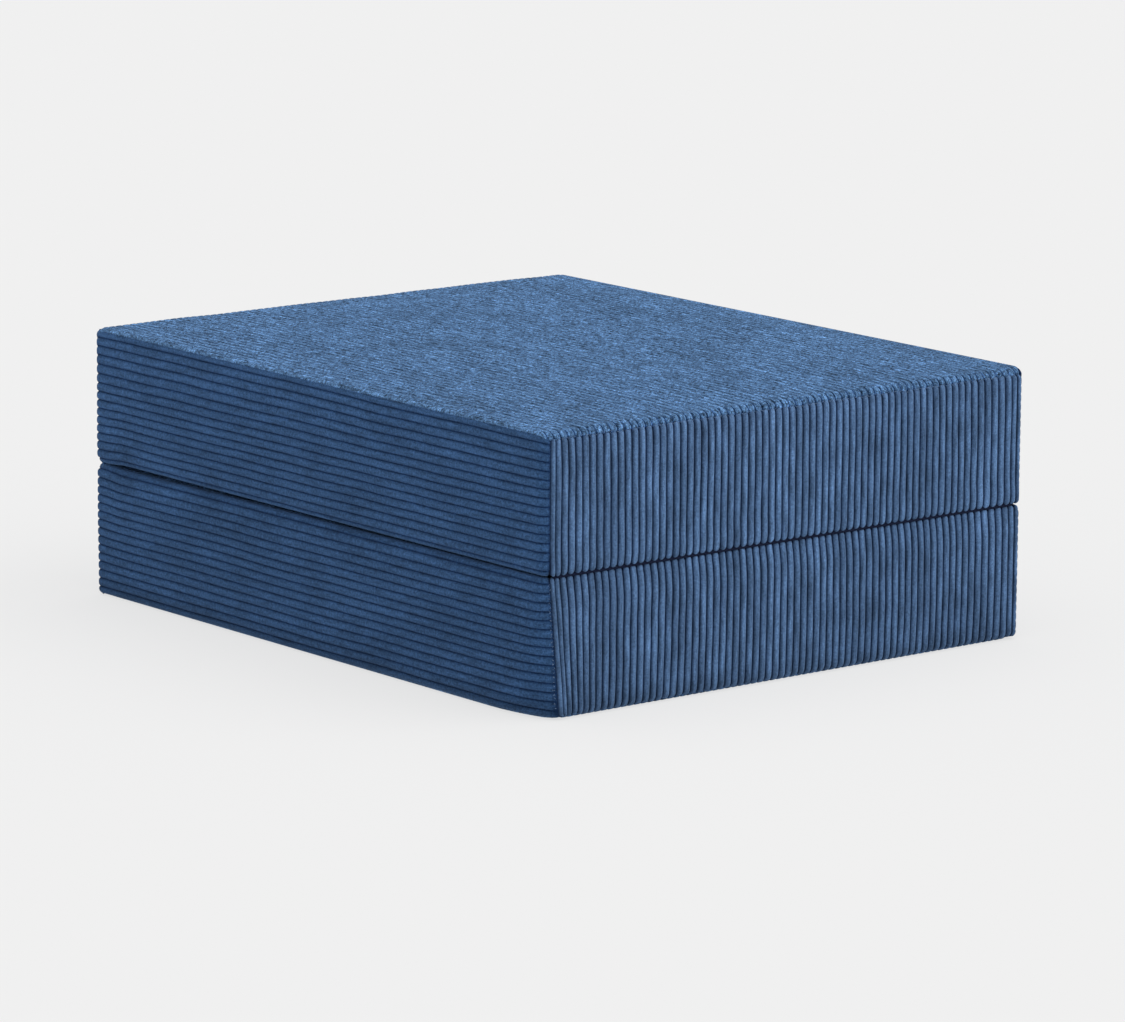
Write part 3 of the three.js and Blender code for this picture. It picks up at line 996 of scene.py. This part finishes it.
def block_mesh(name, low, high, corner, edge, steps=6):
    """A block with round upright corners and softened edges, by the cube and bevel operators."""
    bm = bmesh.new()
    bmesh.ops.create_cube(bm, size=1.0)
    low, high = Vector(low), Vector(high)
    bmesh.ops.scale(bm, vec=high - low, verts=bm.verts[:])
    bmesh.ops.translate(bm, vec=(low + high) / 2, verts=bm.verts[:])
    upright = [e for e in bm.edges if abs(e.verts[0].co.z - e.verts[1].co.z) > 1e-6]
    bmesh.ops.bevel(bm, geom=upright, offset=corner, segments=steps, profile=0.5, affect="EDGES")
    level = [
        e for e in bm.edges
        if e.is_manifold and abs(e.verts[0].co.z - e.verts[1].co.z) < 1e-6
        and e.calc_face_angle() > 0.5
    ]
    bmesh.ops.bevel(bm, geom=level, offset=edge, segments=4, profile=0.5, affect="EDGES")
    return finished_mesh(bm, name)


class FUTON_OT_loose_pile(LayerTool, bpy.types.Operator):
    """Add the short loose pile that stands out of the seams beside a hinge wall; its pale colour is
    a painted highlight on the seams
    """

    bl_idname = "futon.loose_pile"
    bl_label = "Loose Pile"

    LENGTH = 0.0028
    RADIUS = 0.00022
    HAIRS = 3

    def execute(self, context):
        rng = np.random.default_rng(7 + self.upper)
        if self.upper:
            edge = STACK - rim_depth(0.0) + 0.0012
            halves = range(3, 2 * WALL_RIBS - 2)
            roots = [Vector((HALF_X - 0.0006, float(wall_rib_y(k / 2)), edge)) for k in halves]
            outward = Vector((1.0, 0.0, 0.5))
        else:
            depths = np.arange(0.016, LAYER - 0.004, PITCH / 2)
            seams = [0.0006 - float(seam_y(False, -1, t)) for t in depths]
            roots = [Vector((HALF_X - 0.0022, y, t)) for y, t in zip(seams, depths)]
            outward = Vector((0.8, -0.6, 0.2))
        bm = bmesh.new()
        for root in roots:
            for _ in range(self.HAIRS):
                spot = root + Vector(rng.normal(0, (0.0004, 0.0012, 0.0006)))
                towards = (outward.normalized() + Vector(rng.normal(0, 0.45, 3))).normalized()
                turn = towards.to_track_quat("Z", "Y").to_matrix().to_4x4()
                length = self.LENGTH * rng.uniform(0.6, 1.2)
                place = Matrix.Translation(spot + towards * length * 0.3) @ turn
                bmesh.ops.create_cone(
                    bm, cap_ends=True, segments=3, radius1=self.RADIUS, radius2=self.RADIUS / 3,
                    depth=length, matrix=place,
                )
        name = layer_name(self.upper)
        obj = new_object(f"{name}_loose_pile", finished_mesh(bm, f"{name}_loose_pile"))
        finish_piece(
            obj, "loose_pile", f"{name}_layer", f"{name}_hinge_wall"
        )
        return {"FINISHED"}


class FUTON_OT_filling(LayerTool, bpy.types.Operator):
    """Add the foam core, the comfort foam and the sock round them"""

    bl_idname = "futon.filling"
    bl_label = "Filling"

    LINER = 0.0012
    SIDE_ROOM = 0.0070
    OUTER_ROOM = 0.0078
    INNER_ROOM = 0.0100

    def room(self, low, high, gap):
        """A CAD box kept inside the cloth of the cover, with a further gap all round."""
        least, most = self.OUTER_ROOM, LAYER - self.INNER_ROOM
        if self.upper:
            least, most = STACK - LAYER + self.INNER_ROOM, STACK - self.OUTER_ROOM
        low_edge = Vector((-HALF_X + self.SIDE_ROOM, -HALF_Y + self.SIDE_ROOM, least))
        high_edge = Vector((HALF_X - self.SIDE_ROOM, HALF_Y - self.SIDE_ROOM, most))
        grown = Vector((gap, gap, gap))
        low = Vector(max(a, b) for a, b in zip(low, low_edge + grown))
        high = Vector(min(a, b) for a, b in zip(high, high_edge - grown))
        return low, high

    def execute(self, context):
        name = layer_name(self.upper)
        body = f"{name}_layer"
        for part, slot in (("foam_core", "foam_core"), ("comfort_layer", "comfort_foam")):
            node = f"{name}_{part}"
            low, high = self.room(*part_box(node), self.LINER)
            mesh = block_mesh(f"{node}_block", low, high, 0.044, 0.008)
            obj = new_object(f"{node}_block", mesh)
            finish_piece(obj, slot + "_cells", body, node)
        node = f"{name}_foam_liner"
        low, high = self.room(*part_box(node), 0.0)
        mesh = block_mesh(f"{node}_sock", low - Vector((0.04, 0, 0)), high, 0.046, 0.009)
        bm = bmesh.new()
        bm.from_mesh(mesh)
        bmesh.ops.bisect_plane(
            bm, geom=bm.verts[:] + bm.edges[:] + bm.faces[:],
            plane_co=(low.x, 0, 0), plane_no=(-1, 0, 0), clear_outer=True,
        )
        bmesh.ops.recalc_face_normals(bm, faces=bm.faces[:])
        bmesh.ops.solidify(bm, geom=bm.faces[:], thickness=0.0008)
        bm.to_mesh(mesh)
        bm.free()
        face_outwards(mesh)
        obj = new_object(f"{node}_sock", mesh)
        finish_piece(obj, "liner_knit", body, node)
        return {"FINISHED"}


class FUTON_OT_fold_tape(bpy.types.Operator):
    """Add the tape that joins both layers along the fold, one leaf on each"""

    bl_idname = "futon.fold_tape"
    bl_label = "Fold Tape"

    THICKNESS = 0.0006
    LEAF_DEPTH = 0.1786
    STEPS = 6

    def execute(self, context):
        low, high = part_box("fold_tape")
        leaf = np.linspace(low.x, high.x, self.STEPS + 1)
        x = np.concatenate([leaf, leaf[::-1]])
        z = np.where(np.arange(len(x)) <= self.STEPS, self.LEAF_DEPTH, STACK - self.LEAF_DEPTH)
        y = np.linspace(low.y, high.y, 65)
        xx, yy = np.meshgrid(x, y)
        zz = np.broadcast_to(z, xx.shape)
        base = np.stack([xx, yy, zz], axis=-1)
        flat = np.zeros(xx.shape)
        obj = cloth_panel(
            "fold_tape_strip", base, flat, self.THICKNESS, yy, xx, flat, False, (0, 0, 0)
        )
        # The tape's very dark colour is painted shade of the fold.
        obj.data.materials.append(material("fold_weave"))
        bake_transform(obj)
        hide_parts("fold_tape")
        flat = (2 * (high.x - low.x), high.y - low.y)
        return {"FINISHED"}


class FUTON_OT_zip(LayerTool, bpy.types.Operator):
    """Add the zip of a layer: woven tapes, a nylon coil on each and metal stops and slider"""

    bl_idname = "futon.zip"
    bl_label = "Zip"

    COIL_PITCH = 0.0020
    COIL_RADIUS = 0.0009
    WIRE = 0.00036
    POINTS = 8

    def execute(self, context):
        name = layer_name(self.upper)
        body = f"{name}_layer"
        for part in ("inner", "outer"):
            node = f"{name}_zip_tape_{part}"
            low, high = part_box(node)
            mesh = block_mesh(f"{node}_web", low, high, 0.0003, 0.0003, 2)
            obj = new_object(f"{node}_web", mesh)
            finish_piece(obj, "woven_tape", body, node)
            self.coil(name, part)
        for part in ("zip_slider", "zip_pull", "zip_stop_start", "zip_stop_end"):
            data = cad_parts[f"{name}_{part}"].data
            data.materials.clear()
            data.materials.append(material("zip_nickel"))
        return {"FINISHED"}

    def coil(self, name, part):
        """One half of the zip: a wire wound along the tape's edge."""
        node = f"{name}_zip_teeth_{part}"
        low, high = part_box(node)
        turns = int((high.y - low.y) / self.COIL_PITCH)
        angle = np.arange(turns * self.POINTS + 1) * 2 * math.pi / self.POINTS
        side = 0.0 if part == "inner" else math.pi
        y = low.y + self.COIL_PITCH * angle / (2 * math.pi)
        x = (low.x + high.x) / 2 + self.COIL_RADIUS * 0.8 * np.sin(angle + side)
        z = (low.z + high.z) / 2 + self.COIL_RADIUS * np.cos(angle + side)
        curve = bpy.data.curves.new(f"{node}_coil", "CURVE")
        curve.dimensions = "3D"
        curve.bevel_depth = self.WIRE
        curve.bevel_resolution = 1
        curve.use_fill_caps = True
        spline = curve.splines.new("POLY")
        spline.points.add(len(angle) - 1)
        points = np.stack([x, y, z, np.ones_like(x)], axis=1)
        spline.points.foreach_set("co", points.astype(np.float32).ravel())
        wire = bpy.data.objects.new(f"{node}_wire", curve)
        mesh = bpy.data.meshes.new_from_object(wire)
        bpy.data.objects.remove(wire)
        bpy.data.curves.remove(curve)
        face_outwards(mesh)
        mesh.shade_smooth()
        obj = new_object(f"{node}_coil", mesh)
        finish_piece(obj, "zip_nylon", f"{name}_layer", node)


class FUTON_OT_stage(bpy.types.Operator):
    """Add the floor, the light and the camera"""

    bl_idname = "futon.stage"
    bl_label = "Stage"

    def execute(self, context):
        settings = context.scene.futon_stage
        bm = bmesh.new()
        bmesh.ops.create_grid(bm, x_segments=1, y_segments=1, size=60.0)
        mesh = finished_mesh(bm, "floor")
        mesh.materials.append(material("studio_floor"))
        floor = new_object("floor", mesh)
        floor.location.z = -0.0005
        self.add_sun("top_light", settings.top_strength, math.radians(90), (0.10, 0.05, 1.0))
        self.add_sun("key_light", settings.key_strength, math.radians(60), (1.0, 0.75, 1.0))
        self.add_sun("fill_light", settings.fill_strength, math.radians(90), (-0.4, -0.8, 1.2))
        world = bpy.data.worlds.new("studio")
        world.use_nodes = True
        sky = world.node_tree.nodes["Background"].inputs
        sky["Color"].default_value = (1, 1, 1, 1)
        sky["Strength"].default_value = settings.world_strength
        context.scene.world = world
        context.scene.view_settings.view_transform = "Standard"
        self.add_camera(context, settings)
        return {"FINISHED"}

    def add_sun(self, name, strength, spread_angle, towards):
        light = bpy.data.lights.new(name, "SUN")
        light.energy = strength
        light.angle = spread_angle
        lamp = new_object(name, light)
        lamp.rotation_euler = Vector(towards).to_track_quat("Z", "Y").to_euler()
        lamp.location = Vector(towards) * 3

    def add_camera(self, context, settings):
        az, el, roll = settings.azimuth, settings.elevation, settings.roll
        back = Vector((math.sin(az) * math.cos(el), -math.cos(az) * math.cos(el), math.sin(el)))
        right = Vector((math.cos(az), math.sin(az), 0))
        up = back.cross(right)
        right, up = (
            right * math.cos(roll) + up * math.sin(roll),
            up * math.cos(roll) - right * math.sin(roll),
        )
        data = bpy.data.cameras.new("camera")
        data.lens = settings.lens
        data.sensor_width = 36
        data.clip_end = 100
        camera = new_object("camera", data)
        place = Vector((0, 0, STACK / 2)) + right * settings.shift_right
        place += up * settings.shift_up + back * settings.distance
        turn = Matrix((right, up, back)).transposed().to_4x4()
        camera.matrix_world = Matrix.Translation(place) @ turn
        context.scene.camera = camera


class FUTON_PT_panel(bpy.types.Panel):
    """Buttons that build the futon mattress"""

    bl_label = "Futon Mattress"
    bl_idname = "FUTON_PT_panel"
    bl_space_type = "VIEW_3D"
    bl_region_type = "UI"
    bl_category = "Futon"

    def draw(self, context):
        for cls in OPERATORS:
            self.layout.operator(cls.bl_idname)


OPERATORS = (
    FUTON_OT_swelling,
    FUTON_OT_outer_panel,
    FUTON_OT_inner_panel,
    FUTON_OT_hinge_wall,
    FUTON_OT_band,
    FUTON_OT_end_wall,
    FUTON_OT_loose_pile,
    FUTON_OT_filling,
    FUTON_OT_zip,
    FUTON_OT_fold_tape,
    FUTON_OT_stage,
)
CLASSES = (FutonStageSettings, FutonClothSettings, *OPERATORS, FUTON_PT_panel)


def register():
    for cls in CLASSES:
        bpy.utils.register_class(cls)
    bpy.types.Scene.futon_stage = bpy.props.PointerProperty(type=FutonStageSettings)
    bpy.types.Scene.futon_cloth = bpy.props.PointerProperty(type=FutonClothSettings)


def unregister():
    del bpy.types.Scene.futon_cloth
    del bpy.types.Scene.futon_stage
    for cls in reversed(CLASSES):
        bpy.utils.unregister_class(cls)


def run(result):
    """Stops the script where an operator didn't finish."""
    if result != {"FINISHED"}:
        raise RuntimeError(f"an operator ended with {result}")


def main():
    register()
    for upper in (False, True):
        run(bpy.ops.futon.swelling(upper=upper))
        run(bpy.ops.futon.outer_panel(upper=upper))
        run(bpy.ops.futon.inner_panel(upper=upper))
        run(bpy.ops.futon.hinge_wall(upper=upper))
        run(bpy.ops.futon.band(upper=upper, back=False))
        run(bpy.ops.futon.band(upper=upper, back=True))
        run(bpy.ops.futon.end_wall(upper=upper, inner=False))
        run(bpy.ops.futon.end_wall(upper=upper, inner=True))
        run(bpy.ops.futon.loose_pile(upper=upper))
        run(bpy.ops.futon.filling(upper=upper))
        run(bpy.ops.futon.zip(upper=upper))
    run(bpy.ops.futon.fold_tape())
    run(bpy.ops.futon.stage())


if __name__ == "__main__":
    main()
